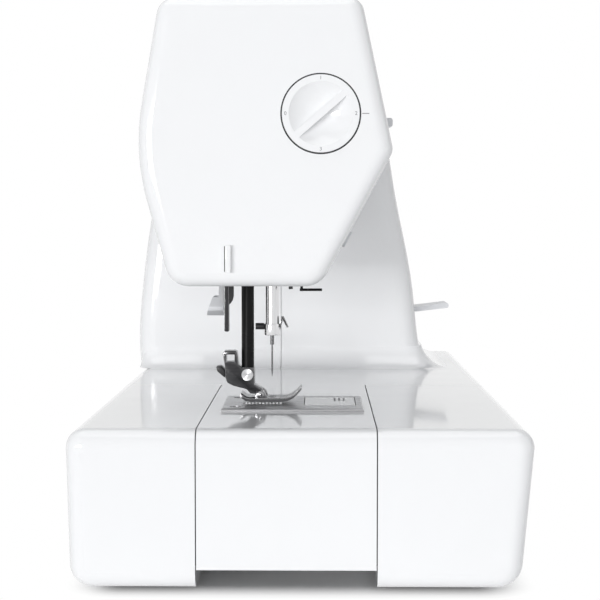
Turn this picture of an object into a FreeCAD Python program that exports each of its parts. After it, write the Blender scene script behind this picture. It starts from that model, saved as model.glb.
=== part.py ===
import FreeCAD, Part

import math
import os

from FreeCAD import Placement, Rotation, Vector

# Free-arm sewing machine. X runs from the back (-) to the operator's side (+), Y from the needle end (-)
# to the handwheel end (+), Z is up. The origin is on the table under the middle of the machine.

DIMENSIONS = {
    # casing
    "half_length": 220, "half_depth": 110, "foot_height": 5, "bed_height": 80, "bed_end": -30,
    "wheel_gap": 1, "wall": 3, "seam": 0.4, "edge_round": 8, "bed_corner": 9, "sole_corner": 12,
    "front_lean": 7, "rear_lean": 2,
    # free arm and extension table
    "arm_rear": -48.2, "arm_front": 35.9, "arm_underside": 14.4, "table_gap": 0.55, "web_thick": 3,
    "web_rise": 2, "web_setback": 70,
    # column, arm and head
    "column_width": 126, "column_round": 12, "throat_top": 187, "throat_round": 15, "head_bottom": 145,
    "head_near": -185, "cover_seam": -150, "head_far": -70, "lid_seam": 262, "top": 285, "hinge_proud": 0.8, "knuckle_d": 5, "knuckle_long": 24, "hinge_pin_d": 2, "parting_x": -16,
    "head_top_rear": -68.5, "head_rear": -81.5, "head_foot_rear": -63.5, "head_foot_front": 9.5,
    "head_front": 45.2, "head_top_front": 29.5, "head_rear_height": 210, "head_front_height": 211,
    # needle and presser bars
    "needle_x": -15.6, "needle_y": -124.5, "needle_bar_d": 7.2, "needle_bar_top": 232, "needle_tip": 95,
    "needle_d": 0.9, "shank_d": 2, "clamp_bottom": 117, "bar_fit": 0.05, "presser_x": -28.4,
    "presser_bar_d": 6.6, "presser_bar_top": 224, "bush_wall": 1.8, "guide_low": 150, "guide_thick": 10,
    "guide_high": 212, "guide_depth": 13,
    # needle plate and foot
    "plate_rear": -41, "plate_front": 32, "plate_near": -153, "plate_far": -96, "plate_thick": 2.6,
    "plate_rise": 1.5, "cover_rear": 1.5, "cover_front": 28, "cover_near": -138, "cover_far": -103,
    "cover_thick": 2, "fit_gap": 0.3, "sole_gap": 1, "sole_thick": 1.8, "foot_width": 18,
    "foot_pin_x": -21.1, "foot_pin_height": 6.3, "foot_pin_d": 2,
    # shafts and drive
    "shaft_drop": 24, "shaft_d": 10, "stroke": 24, "crank_d": 40, "crank_thick": 8, "pulley_d": 30,
    "pulley_width": 9, "pulley_inset": 65, "belt_thick": 2, "drive_pulley_d": 60, "drive_inset": 45,
    "motor_x": 34, "motor_height": 125, "motor_d": 46, "motor_length": 44, "motor_inset": 9,
    "motor_pulley_d": 15, "motor_shaft_d": 6, "lower_height": 36, "lower_d": 8, "gear_gap": 0.4,
    "hook_d": 34.8, "hook_bottom": 56, "hook_depth": 13, "hook_shaft_d": 6, "bobbin_d": 20.4,
    "bobbin_width": 11.4, "lower_gear_d": 26, "hook_gear_d": 13, "wheel_d": 56, "wheel_thick": 14,
    # controls
    "dial_x": 9.8, "dial_height": 228.6, "dial_d": 37.4, "dial_gap": 0.6, "dial_thick": 9,
    "dial_proud": 1.2, "pocket_d": 31, "pocket_depth": 5.5, "grip_width": 3.4, "dial_stem_d": 8,
    "cutter_x": -35, "cutter_height": 165.4, "cutter_tall": 13.6, "cutter_wide": 2.9, "cutter_proud": 3.4,
    "slider_y": -60, "slider_height": 232, "slider_tall": 5, "slider_long": 9, "slider_reach": 50.4,
    "slider_travel": 24, "button_d": 9, "button_pitch": 15, "button_proud": 2.6, "button_y": -120,
    "button_length": 10, "button_share": 0.35, "button_gap": 0.4, "tension_d": 30, "tension_width": 7,
    "tension_y": -95, "tension_height": 240, "tension_x": 25, "panel_low": 150, "panel_high": 226,
    "panel_inset": 21, "panel_far_inset": 19, "key_d": 8, "key_pitch": 18, "key_proud": 1.2, "key_gap": 0.4,
    "lever_height": 115.4, "lever_pivot_x": 65, "lever_inset": 41, "lever_reach": 97, "lever_wide": 26,
    "lever_thick": 3.3, "lever_rise": 3.8, "lever_pin_d": 5, "lever_drop": 9, "switch_tall": 20, "switch_wide": 14,
    "switch_height": 60, "switch_x": 33, "switch_gap": 0.6, "switch_pin_d": 2, "inlet_x": -11,
    "inlet_wide": 24, "spool_y": 30,
}

doc = FreeCAD.newDocument("sewing_machine")
sheet = doc.addObject("Spreadsheet::Sheet", "Sizes")
for row, (alias, number) in enumerate(DIMENSIONS.items(), 1):
    sheet.set(f"A{row}", alias)
    sheet.set(f"B{row}", str(number))
    sheet.setAlias(f"B{row}", alias)
doc.recompute()


class Size:
    """A dimension: its number, and the expression that keeps it tied to the sheet."""

    def __init__(self, number, text):
        self.number = number
        self.text = text

    def __float__(self):
        return float(self.number)

    def __add__(self, other):
        return Size(self.number + float(other), f"({self.text} + {text_of(other)})")

    def __sub__(self, other):
        return Size(self.number - float(other), f"({self.text} - {text_of(other)})")

    def __mul__(self, factor):
        return Size(self.number * float(factor), f"({self.text} * {text_of(factor)})")

    def __truediv__(self, divisor):
        return Size(self.number / float(divisor), f"({self.text} / {text_of(divisor)})")

    def __neg__(self):
        return Size(-self.number, f"(0 - {self.text})")


def text_of(value):
    """The expression of a size, or a plain number as text."""
    return value.text if isinstance(value, Size) else repr(float(value))


class Sizes:
    """Every cell of the sheet as a Size, by its alias."""

    def __init__(self, cells):
        for alias in cells:
            setattr(self, alias, Size(float(sheet.get(alias)), f"Sizes.{alias}"))


s = Sizes(DIMENSIONS)
s.casing_end = s.half_length - s.wheel_thick - s.wheel_gap
s.column_near = s.casing_end - s.column_width
s.shaft_height = s.lid_seam - s.shaft_drop
s.pulley_y = s.casing_end - s.pulley_inset
s.drive_y = s.casing_end - s.drive_inset
s.motor_y = s.column_near + s.motor_inset
s.lever_y = s.column_near + s.lever_inset
s.panel_near = s.column_near + s.panel_inset
s.panel_far = s.casing_end - s.panel_far_inset
AXES = {"X": Vector(1, 0, 0), "Y": Vector(0, 1, 0), "Z": Vector(0, 0, 1)}
subparts = []


def bind(obj, **sizes):
    for name, value in sizes.items():
        obj.setExpression(name, text_of(value))


def place(obj, at, rotation=None):
    """Puts an object at a point whose coordinates stay tied to the sheet."""
    obj.Placement = Placement(Vector(*[float(c) for c in at]), rotation or Rotation())
    for letter, value in zip("xyz", at):
        obj.setExpression(f"Placement.Base.{letter}", text_of(value))
    return obj


def box(low, high):
    """A block between two corners."""
    obj = doc.addObject("Part::Box", "block")
    bind(obj, Length=high[0] - low[0], Width=high[1] - low[1], Height=high[2] - low[2])
    return place(obj, low)


def rod(diameter, length, at, axis="Z"):
    """A round bar from its first end's centre along an axis."""
    obj = doc.addObject("Part::Cylinder", "rod")
    bind(obj, Radius=diameter / 2, Height=length)
    return place(obj, at, Rotation(AXES["Z"], AXES[axis]))


def taper(first, second, length, at, axis="Z"):
    """A cone from one diameter to another along an axis."""
    obj = doc.addObject("Part::Cone", "taper")
    bind(obj, Radius1=first / 2, Radius2=second / 2, Height=length)
    return place(obj, at, Rotation(AXES["Z"], AXES[axis]))


def group(kind, pieces):
    obj = doc.addObject(kind, kind.split("::")[1].lower())
    obj.Shapes = pieces
    return obj


def fuse(*pieces):
    return group("Part::MultiFuse", list(pieces))


def common(*pieces):
    return group("Part::MultiCommon", list(pieces))


def together(*pieces):
    """Separate solids in one node."""
    obj = doc.addObject("Part::Compound", "group")
    obj.Links = list(pieces)
    return obj


def cut(base, *tools):
    """The base less every tool."""
    for tool in tools:
        obj = doc.addObject("Part::Cut", "cut")
        obj.Base = base
        obj.Tool = tool
        base = obj
    return base


def rounded(base, radius, picked):
    """The base with the edges that picked() accepts rounded."""
    doc.recompute()
    chosen = [i for i, edge in enumerate(base.Shape.Edges, 1) if picked(edge)]
    obj = doc.addObject("Part::Fillet", "round")
    obj.Base = base
    obj.Edges = [(i, float(radius), float(radius)) for i in chosen]
    return obj


def solid(shape):
    """A document object holding a shape that no ordinary feature makes."""
    obj = doc.addObject("Part::Feature", "form")
    obj.Shape = shape
    return obj


def keep(label, obj):
    """Names an object as one of the machine's pieces."""
    obj.Label = label
    subparts.append(obj)
    return obj


def level(edge, axis, value, margin=0.01):
    """Whether an edge lies in the plane where a coordinate has that value."""
    bounds = edge.BoundBox
    low, high = getattr(bounds, axis + "Min"), getattr(bounds, axis + "Max")
    return abs(low - float(value)) < margin and abs(high - float(value)) < margin


# Outlines in the XZ plane


def inset(points, distance):
    """The polygon with every side moved inwards. Its corners run clockwise seen along +Y."""
    lines = []
    for (x0, z0), (x1, z1) in zip(points, points[1:] + points[:1]):
        length = math.hypot(x1 - x0, z1 - z0)
        nx, nz = (z1 - z0) / length, -(x1 - x0) / length
        lines.append((nx, nz, nx * x0 + nz * z0 + distance))
    corners = []
    for (a, b, c), (d, e, f) in zip(lines[-1:] + lines[:-1], lines):
        det = a * e - b * d
        corners.append(((c * e - b * f) / det, (a * f - c * d) / det))
    return corners


def rounded_wire(points, radii, to_space):
    """A closed wire through a polygon's corners, each rounded by its radius."""
    edges, ends = [], []
    for i, (x, z) in enumerate(points):
        before, corner, after = Vector(*points[i - 1], 0), Vector(x, z, 0), Vector(*points[(i + 1) % len(points)], 0)
        a, b = (before - corner).normalize(), (after - corner).normalize()
        half = a.getAngle(b) / 2
        reach = radii[i] / math.tan(half)
        middle = (a + b).normalize() * (radii[i] / math.sin(half) - radii[i])
        ends.append((corner + a * reach, corner + middle, corner + b * reach))
    for i, (start, middle, finish) in enumerate(ends):
        edges.append(Part.Arc(to_space(start), to_space(middle), to_space(finish)).toShape())
        following = ends[(i + 1) % len(ends)][0]
        edges.append(Part.LineSegment(to_space(finish), to_space(following)).toShape())
    return Part.Wire(edges)


def prism_y(points, radii, first, last):
    """A rounded polygon of the XZ plane, drawn out along Y."""
    wire = rounded_wire(points, radii, lambda p: Vector(p.x, float(first), p.y))
    return Part.Face(wire).extrude(Vector(0, float(last) - float(first), 0))


def prism_x(points, radii, first, last):
    """A rounded polygon of the YZ plane, drawn out along X."""
    wire = rounded_wire(points, radii, lambda p: Vector(float(first), p.x, p.y))
    return Part.Face(wire).extrude(Vector(float(last) - float(first), 0, 0))


def slab(low, high):
    """A plain block for cutting."""
    size = [float(b) - float(a) for a, b in zip(low, high)]
    return Part.makeBox(*size, Vector(*[float(c) for c in low]))

# Bed: fixed base, free arm and slide-off extension table

wall = float(s.wall)
bed_points = [
    (-float(s.half_depth) - 0.12, float(s.bed_height)), (float(s.half_depth) + 0.85, float(s.bed_height)),
    (float(s.half_depth + 0.85 - s.front_lean), float(s.foot_height)),
    (-float(s.half_depth + 0.12 - s.rear_lean), float(s.foot_height)),
]
bed_radii = [float(s.bed_corner), float(s.bed_corner), float(s.sole_corner), float(s.sole_corner - 1)]
bed_inner = inset(bed_points, wall)
bed_inner_radii = [r - wall for r in bed_radii]

bed_end = float(s.bed_end)
base_shape = prism_y(bed_points, bed_radii, s.bed_end, s.casing_end)
far_rim = [e for e in base_shape.Edges if level(e, "Y", s.casing_end)]
base_shape = base_shape.makeFillet(float(s.edge_round), far_rim)
base_shape = base_shape.cut(prism_y(bed_inner, bed_inner_radii, s.bed_end + s.wall, s.casing_end - s.wall))

arm_mouth = box((s.arm_rear + s.wall, s.bed_end - 1, s.arm_underside + s.wall),
                (s.arm_front - s.wall, s.bed_end + s.wall + 1, s.bed_height - s.wall))
column_mouth = box((-s.half_depth + 18, s.column_near + s.wall + s.fit_gap, s.bed_height - s.wall - 1),
                   (s.half_depth - 46, s.casing_end - 12, s.bed_height + 1))
floor_low = (-s.half_depth + 16, s.bed_end + 14, s.foot_height)
floor_high = (s.half_depth - 24, s.casing_end - 14, s.foot_height + s.wall)
floor_mouth = box((floor_low[0] - s.fit_gap, floor_low[1] - s.fit_gap, floor_low[2] - 1),
                  (floor_high[0] + s.fit_gap, floor_high[1] + s.fit_gap, floor_high[2] + 1))
switch_hole = box((s.switch_x, s.casing_end - s.wall - 1, s.switch_height - s.switch_tall / 2),
                  (s.switch_x + s.switch_wide, s.casing_end + 1, s.switch_height + s.switch_tall / 2))
inlet_hole = box((s.inlet_x, s.casing_end - s.wall - 1, s.switch_height - s.switch_tall / 2),
                 (s.inlet_x + s.inlet_wide, s.casing_end + 1, s.switch_height + s.switch_tall / 2))
pivot_hole = rod(s.switch_pin_d + s.bar_fit * 2, s.switch_wide + 4, (s.switch_x - 2, s.casing_end - 1.5, s.switch_height), "X")
keep("base_casing", cut(solid(base_shape), arm_mouth, column_mouth, floor_mouth, switch_hole, inlet_hole, pivot_hole))
keep("bottom_plate", box(floor_low, floor_high))

pads = []
for across, along in ((-0.75, 0.04), (0.68, 0.04), (-0.75, 0.82), (0.68, 0.82)):
    pads.append(rod(s.foot_height * 3.4, s.foot_height, (s.half_depth * across, s.half_length * along, 0)))
keep("rubber_feet", together(*pads))

arm_block = box((s.arm_rear, -s.half_length, s.arm_underside), (s.arm_front, s.bed_end, s.bed_height))
arm_block = rounded(arm_block, s.edge_round, lambda e: level(e, "Y", -s.half_length) and level(e, "Z", s.bed_height))
arm_room = box((s.arm_rear + s.wall, -s.half_length + s.wall, s.arm_underside + s.wall),
               (s.arm_front - s.wall, s.bed_end + 1, s.bed_height - s.wall))
plate_low = (s.plate_rear, s.plate_near, s.bed_height + s.plate_rise - s.plate_thick)
plate_high = (s.plate_front, s.plate_far, s.bed_height + s.plate_rise)
plate_seat = box((plate_low[0] - s.fit_gap / 2, plate_low[1] - s.fit_gap / 2, plate_low[2]),
                 (plate_high[0] + s.fit_gap / 2, plate_high[1] + s.fit_gap / 2, plate_high[2]))
hook_x = s.needle_x + (s.lower_gear_d + s.hook_gear_d) / 2 + s.gear_gap
hook_y = s.needle_y + 2
hook_mouth = rod(s.hook_d + 5, s.wall * 4, (hook_x, hook_y, s.bed_height - s.wall * 3))
feed_mouth = box((s.needle_x - 16, s.needle_y - 8, s.bed_height - s.wall - 1),
                 (s.needle_x + 8, s.needle_y + 8, s.bed_height + 1))
keep("free_arm_casing", cut(arm_block, arm_room, plate_seat, hook_mouth, feed_mouth))

table_shape = prism_y(bed_points, bed_radii, -s.half_length, s.bed_end - s.seam)
near_rim = [e for e in table_shape.Edges if level(e, "Y", -s.half_length)]
table_shape = table_shape.makeFillet(float(s.edge_round), near_rim)
gap = float(s.table_gap)
channel = slab((s.arm_rear - gap, -s.half_length - 1, 0), (s.arm_front + gap, s.bed_end, s.bed_height + 1))
table_room = prism_y(bed_inner, bed_inner_radii, -s.half_length + s.wall, s.bed_end - s.seam - s.wall)
spine = slab((s.arm_rear - gap - wall, -s.half_length, 0), (s.arm_front + gap + wall, s.bed_end, s.bed_height))
table_room = table_room.cut(spine)
under = slab((-s.half_depth + 14, -s.half_length + 14, s.foot_height - 1),
             (s.half_depth - 22, s.bed_end - 14, s.foot_height + s.wall + 1)).cut(spine)
table_shape = table_shape.cut(channel).cut(table_room).cut(under)
web = slab((s.arm_rear - gap - 1, -s.half_length + s.web_setback, s.foot_height + s.web_rise),
           (s.arm_front + gap + 1, s.bed_end - s.seam, s.foot_height + s.web_rise + s.web_thick))
keep("extension_table", solid(table_shape.fuse(web).removeSplitter()))

# Column, arm and head: outer form, hollowed, then split into its shells

head_points = [
    (float(s.head_top_rear), float(s.top)), (float(s.head_top_front), float(s.top)),
    (float(s.head_front), float(s.head_front_height)), (float(s.head_foot_front), float(s.head_bottom)),
    (float(s.head_foot_rear), float(s.head_bottom)), (float(s.head_rear), float(s.head_rear_height)),
]
head_radii = [9, 8, 7, 13, 12, 110]
head_inner = inset(head_points, wall)
head_inner_radii = [6, 5, 4, 10, 9, 107]
cover_seam, column_far = float(s.cover_seam), float(s.casing_end)
seam = float(s.seam)


def throat(margin):
    """The space under the arm, grown by a margin."""
    low, high = float(s.head_far) - margin, float(s.column_near) + margin
    roof = float(s.throat_top) + margin
    points = [(low, roof), (high, roof), (high, 60), (low, 60)]
    radius = float(s.throat_round) + margin
    return prism_x(points, [radius, radius, 1, 1], -150, 150)


# height, distance of the rear face from the bed's rear, and front face
COLUMN = [(80, 0.3, 80.2), (130, 0.9, 71.6), (177, 7, 63), (204, 12.5, 58), (237, 23.5, 52), (262, 37, 35.5)]
FLARE_HEIGHTS = [0, 0.8, 2.4, 5, 9, 14]


def section(height, rear, front, near, radius):
    """A level rounded rectangle of the column."""
    far = column_far - (float(s.column_round) - radius if radius < float(s.column_round) else 0)
    points = [(rear, far), (front, far), (front, near), (rear, near)]
    return rounded_wire(points, [radius] * 4, lambda p: Vector(p.x, p.y, height))


def column(margin):
    """The column as a smooth loft, shrunk by a margin, with a hollow curve where it meets the bed."""
    radius = float(s.column_round) - margin
    near = float(s.column_near) + margin
    rear_edge = -float(s.half_depth) + margin
    wires = [section(z, rear_edge + rear, front - margin, near, radius) for z, rear, front in COLUMN]
    tower = Part.makeLoft(wires, True)
    sweep = FLARE_HEIGHTS[-1]
    wires = []
    for rise in FLARE_HEIGHTS:
        out = sweep - math.sqrt(sweep * sweep - (sweep - rise) ** 2)
        front = COLUMN[0][2] - 0.185 * rise - margin + out
        wires.append(section(float(s.bed_height) + rise, rear_edge + 0.4 + 0.01 * rise, front - 0.02, near - out + 0.02,
                             radius))
    return tower.fuse(Part.makeLoft(wires, True))


arm_far = float(s.column_near) + 22
outer_arm = prism_y(head_points, head_radii, s.cover_seam, arm_far).cut(throat(0).common(
    slab((-150, -200, 0), (150, s.column_near, 300))))
inner_arm = prism_y(head_inner, head_inner_radii, s.cover_seam - 1, arm_far + 1).cut(throat(wall))
outer = outer_arm.fuse(column(0))
inner = inner_arm.fuse(column(wall))
casing = outer.cut(inner)
casing = casing.cut(slab((-150, -250, s.lid_seam), (150, 250, 300)))

# openings for the bars under the head and the window in the head's far wall
casing = casing.cut(slab((s.presser_x - 27, s.cover_seam + 4, s.head_bottom - 1),
                         (s.needle_x + 9.6, s.head_far - 6, s.head_bottom + s.wall + 1)))
parting = float(s.parting_x)
front_half = slab((parting + 0.15, -250, 0), (200, 250, 300))
rear_half = slab((-200, -250, 0), (parting - 0.15, 250, 300))
front_shape = casing.common(front_half)
rear_shape = casing.common(rear_half)

lid_shape = prism_y(head_points, head_radii, s.cover_seam, column_far)
lid_rim = [e for e in lid_shape.Edges if level(e, "Y", column_far)]
lid_shape = lid_shape.makeFillet(float(s.edge_round), lid_rim)
lid_shape = lid_shape.cut(prism_y(head_inner, head_inner_radii, s.cover_seam - 1, column_far - wall))
lid_shape = lid_shape.common(slab((-200, -250, s.lid_seam + s.seam), (200, 250, 300)))
hinge_x, hinge_z = s.head_top_rear - (s.top - s.lid_seam) * 0.173 - s.hinge_proud, s.lid_seam + s.seam
knuckles, grooves, pins, pin_bores, pin_slots = [], [], [], [], []
for y in (s.head_far + 20, s.column_near - 20 - s.knuckle_long):
    knuckles.append(rod(s.knuckle_d, s.knuckle_long, (hinge_x, y, hinge_z), "Y"))
    grooves.append(rod(s.knuckle_d + s.fit_gap * 2, s.knuckle_long + s.fit_gap * 2, (hinge_x, y - s.fit_gap, hinge_z), "Y"))
    pins.append(rod(s.hinge_pin_d, s.knuckle_long + 6, (hinge_x, y - 3, hinge_z), "Y"))
    pin_bores.append(rod(s.hinge_pin_d + s.bar_fit * 2, s.knuckle_long + 6, (hinge_x, y - 3, hinge_z), "Y"))
    for end in (y - 3.5, y + s.knuckle_long):
        pin_slots.append(rod(s.hinge_pin_d + s.fit_gap * 2, s.fit_gap + 3.2, (hinge_x, end, hinge_z), "Y"))
        pins.append(box((hinge_x - 1, end + 0.5, hinge_z - 3), (hinge_x + 3, end + 3, hinge_z)))
        pin_slots.append(box((hinge_x - 2, end + 0.2, hinge_z - 4), (hinge_x + 3.4, end + 3.3, hinge_z + s.fit_gap)))
keep("top_lid", cut(fuse(cut(solid(lid_shape), *pin_slots), *knuckles), *pin_bores))

cover_shape = prism_y(head_points, head_radii, s.head_near, s.cover_seam - s.seam)
cover_rim = [e for e in cover_shape.Edges if level(e, "Y", s.head_near)]
cover_shape = cover_shape.makeFillet(float(s.edge_round) - 1, cover_rim)
cover_shape = cover_shape.cut(prism_y(head_inner, head_inner_radii, s.head_near + s.wall, s.cover_seam))

# Face cover with its dial and thread cutter

dial_at = (s.dial_x, s.head_near - s.dial_proud, s.dial_height)
well_d = s.dial_d + s.dial_gap * 2
well_floor = s.head_near - s.dial_proud + s.dial_thick + s.dial_gap
boss = rod(well_d + s.wall * 2, s.dial_thick + s.wall, (s.dial_x, s.head_near + s.wall / 2, s.dial_height), "Y")
well = rod(well_d, s.dial_thick + s.dial_gap + 1, (s.dial_x, well_floor - s.dial_thick - s.dial_gap - 1, s.dial_height), "Y")
stem_hole = rod(s.dial_stem_d + s.bar_fit * 2, s.dial_thick * 3, (s.dial_x, s.head_near, s.dial_height), "Y")
keep("face_cover", cut(fuse(solid(cover_shape), boss), well, stem_hole))
bowl_radius = (s.pocket_d * s.pocket_d / 4 + s.pocket_depth * s.pocket_depth) / (s.pocket_depth * 2)
bowl = doc.addObject("Part::Sphere", "bowl")
bind(bowl, Radius=bowl_radius)
place(bowl, (s.dial_x, dial_at[1] - bowl_radius + s.pocket_depth, s.dial_height))
grip = doc.addObject("Part::Box", "grip")
bind(grip, Length=s.pocket_d * 2, Width=s.dial_thick * 2, Height=s.grip_width)
turned = Rotation(AXES["Y"], -41)
corner = turned.multVec(Vector(-float(s.pocket_d), 0, -float(s.grip_width) / 2))
place(grip, (s.dial_x + corner.x, dial_at[1] - s.dial_thick, s.dial_height + corner.z), turned)
disc = rod(s.dial_d, s.dial_thick, dial_at, "Y")
stem = rod(s.dial_stem_d, s.dial_thick + 7, (s.dial_x, dial_at[1] + 6, s.dial_height), "Y")
keep("pressure_dial", fuse(cut(disc, cut(bowl, grip)), stem))
keep("thread_cutter", box((s.cutter_x - s.cutter_wide / 2, s.head_near - s.cutter_proud, s.cutter_height - s.cutter_tall),
                          (s.cutter_x + s.cutter_wide / 2, s.head_near, s.cutter_height)))

# Needle bar, clamp and needle

bar_hole = s.needle_bar_d + s.bar_fit * 2
clamp_d = s.needle_bar_d + 1.4
needle_xy = (s.needle_x, s.needle_y)
needle_bar = rod(s.needle_bar_d, s.needle_bar_top - s.clamp_bottom - 3, needle_xy + (s.clamp_bottom + 3,))
keep("needle_bar", needle_bar)
collar = rod(clamp_d, 6, needle_xy + (s.clamp_bottom,))
keep("needle_clamp", cut(collar, rod(s.needle_bar_d, 8, needle_xy + (s.clamp_bottom + 3,)),
                         rod(s.shank_d, 12, needle_xy + (s.clamp_bottom - 2,)),
                         rod(s.shank_d, 12, (s.needle_x - 12, s.needle_y, s.clamp_bottom + 4.6), "X")))
screw_at = (s.needle_x - clamp_d / 2 - 4.4, s.needle_y, s.clamp_bottom + 4.6)
knob = rod(s.shank_d * 1.7, 4.4, screw_at, "X")
keep("clamp_screw", fuse(knob, rod(s.shank_d, (clamp_d - s.needle_bar_d) / 2 + 4.4, screw_at, "X")))
shank = rod(s.shank_d, 8, needle_xy + (s.clamp_bottom - 5,))
blade = rod(s.needle_d, s.clamp_bottom - 5 - s.needle_tip - 3, needle_xy + (s.needle_tip + 3,))
point = taper(s.needle_d * 0.1, s.needle_d, 3, needle_xy + (s.needle_tip,))
keep("needle", fuse(shank, blade, point))
crank_y = s.needle_y + 13.5
pin_length = 3
link_y = crank_y - pin_length - 0.3 - 3.4
pin_z = s.shaft_height + s.stroke / 2
link = box((s.needle_x - 3, link_y, s.guide_low + s.guide_thick + s.stroke + 4), (s.needle_x + 3, link_y + 3.4, pin_z))
eye = rod(12, 3.4, (s.needle_x, link_y, pin_z), "Y")
block = box((s.needle_x - 5.4, s.needle_y - 5, s.guide_low + s.guide_thick + s.stroke + 4),
            (s.needle_x + 5.4, link_y + 1, s.guide_low + s.guide_thick + s.stroke + 14))
keep("needle_bar_link", cut(fuse(link, eye, block), rod(s.needle_bar_d, 200, needle_xy + (80,))))

# Presser bar, foot holder, foot and spring

presser_xy = (s.presser_x, s.needle_y)
presser_hole = s.presser_bar_d + s.bar_fit * 2
sole_z = s.bed_height + s.plate_rise + s.sole_gap + 0.2
holder_z = sole_z + 8.6
pin_at = (s.foot_pin_x, s.needle_y, s.bed_height + s.foot_pin_height)
body = box((s.presser_x - 12.4, s.needle_y - 5.5, holder_z), (s.presser_x + 3.7, s.needle_y + 5.5, holder_z + 11.3))
tab = box((s.presser_x - 13, s.needle_y - 3, holder_z + 11), (s.presser_x - 5, s.needle_y + 3, holder_z + 17.6))
tab_hole = box((s.presser_x - 11, s.needle_y - 4, holder_z + 12.4), (s.presser_x - 7, s.needle_y + 4, holder_z + 16))
hook_jaw = box((s.presser_x + 1.4, s.needle_y - 5, pin_at[2] - 0.3), (s.foot_pin_x + 0.7, s.needle_y + 5, holder_z + 1))
catch = box((s.presser_x - 16.6, s.needle_y - 4, holder_z + 4.7), (s.presser_x - 12, s.needle_y + 4, holder_z + 9.5))
screw_z = holder_z + 5.3
keep("foot_holder", cut(fuse(body, tab, hook_jaw), tab_hole, rod(s.presser_bar_d, 40, presser_xy + (holder_z + 2,)),
                        rod(s.foot_pin_d + s.bar_fit * 2, 14, (pin_at[0], s.needle_y - 7, pin_at[2]), "Y"),
                        rod(3, 6, (s.presser_x, s.needle_y - 8, screw_z), "Y"), catch))
keep("foot_release", catch)
keep("holder_screw", cut(fuse(rod(6, 2, (s.presser_x, s.needle_y - 7.5, screw_z), "Y"),
                              rod(3, 6 - float(s.presser_bar_d) / 2, (s.presser_x, s.needle_y - 6, screw_z), "Y")),
                         box((s.presser_x - 4, s.needle_y - 8, screw_z - 0.5), (s.presser_x + 4, s.needle_y - 6.8, screw_z + 0.5))))
z0, z1 = float(sole_z), float(sole_z + s.sole_thick)
x0 = float(s.foot_pin_x)
sole_points = [(x0 - 10.8, z1 + 1.6), (x0 - 8, z1), (x0 + 12.5, z1), (x0 + 18.1, z1 + 2), (x0 + 20.5, z1 + 5.3),
               (x0 + 21.5, z1 + 4.6), (x0 + 18.9, z0 + 2.5), (x0 + 13.1, z0), (x0 - 8.4, z0), (x0 - 11.5, z0 + 2.5)]
half_foot = s.foot_width / 2
sole = solid(prism_y(sole_points, [0.2] * 10, s.needle_y - half_foot, s.needle_y + half_foot))
ears = [box((s.foot_pin_x - 3, s.needle_y + side, sole_z + 1), (s.foot_pin_x + 3, s.needle_y + side + 2.4, pin_at[2] + 2))
        for side in (-8, 5.6)]
needle_slot = box((s.needle_x - 2, s.needle_y - 3.6, sole_z - 1), (s.needle_x + 2, s.needle_y + 3.6, sole_z + 4))
toe_slot = box((s.needle_x, s.needle_y - 1, sole_z - 1), (s.needle_x + 20, s.needle_y + 1, sole_z + 12))
foot_pin = rod(s.foot_pin_d, 16, (pin_at[0], s.needle_y - 8, pin_at[2]), "Y")
keep("presser_foot", cut(fuse(sole, *ears, foot_pin), needle_slot, toe_slot))
spring_low = s.guide_low + 28
collar_d = s.presser_bar_d + 5
keep("presser_bar", fuse(rod(s.presser_bar_d, s.presser_bar_top - holder_z - 2, presser_xy + (holder_z + 2,)),
                         rod(collar_d, 5, presser_xy + (spring_low - 5,))))
wire_d, turns = 1.2, 8
coil_height = float(s.guide_high - spring_low) - wire_d - 0.1
helix = Part.makeHelix(coil_height / turns, coil_height, float(s.presser_bar_d) / 2 + 1.4)
profile = Part.Wire(Part.makeCircle(wire_d / 2, Vector(float(s.presser_bar_d) / 2 + 1.4, 0, 0), Vector(0, 1, 0)))
coil = Part.Wire(helix).makePipeShell([profile], True, True)
coil.translate(Vector(float(s.presser_x), float(s.needle_y), float(spring_low) + wire_d / 2 + 0.05))
keep("presser_spring", solid(coil))
print("spring turn gap", round(coil_height / turns - wire_d, 2))

# Lifter and buttonhole lever

lifter_y, lifter_z = s.needle_y + 24.5, s.guide_low + 10
lifter_low, lifter_high = s.presser_x - 22.2, s.presser_x - 13.2
hub = rod(14, lifter_high - lifter_low, (lifter_low, lifter_y, lifter_z), "X")
paddle_points = [(float(lifter_y) - 7, float(lifter_z)), (float(lifter_y) + 6, float(lifter_z) - 2),
                 (float(lifter_y) - 10, float(lifter_z) - 34), (float(lifter_y) - 24, float(lifter_z) - 30)]
paddle = solid(prism_x(paddle_points, [1, 1, 2, 2], lifter_low, lifter_high))
lifter_pin_d = 6
tip_x, tip_z = float(lifter_low), float(lifter_z) - 33
slope = [(tip_x - 12, tip_z + 25.5), (tip_x + 6.6, tip_z + 25.5), (tip_x + 6.6, tip_z + 9.8), (tip_x + 3.4, tip_z + 9.8),
         (tip_x - 0.4, tip_z - 1), (tip_x - 12, tip_z - 1)]
flank = solid(prism_y(slope, [0.3] * 6, lifter_y - 40, lifter_y + 30))
keep("presser_lifter", cut(fuse(hub, cut(paddle, flank)), rod(s.bar_fit * 2 + lifter_pin_d, 40, (lifter_low - 10, lifter_y, lifter_z), "X")))
strip_y = s.needle_y - 15.5
strip_low, strip_high = s.presser_x - 11.4, s.presser_x - 8.9
strip = box((strip_low, strip_y, s.head_bottom - 25.2), (strip_high, strip_y + 5, s.head_bottom + 40))
keep("buttonhole_lever", rounded(strip, 0.8, lambda e: level(e, "Z", s.head_bottom - 25.2)))

# Needle plate, bobbin cover, feed dog, hook and bobbin

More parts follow.
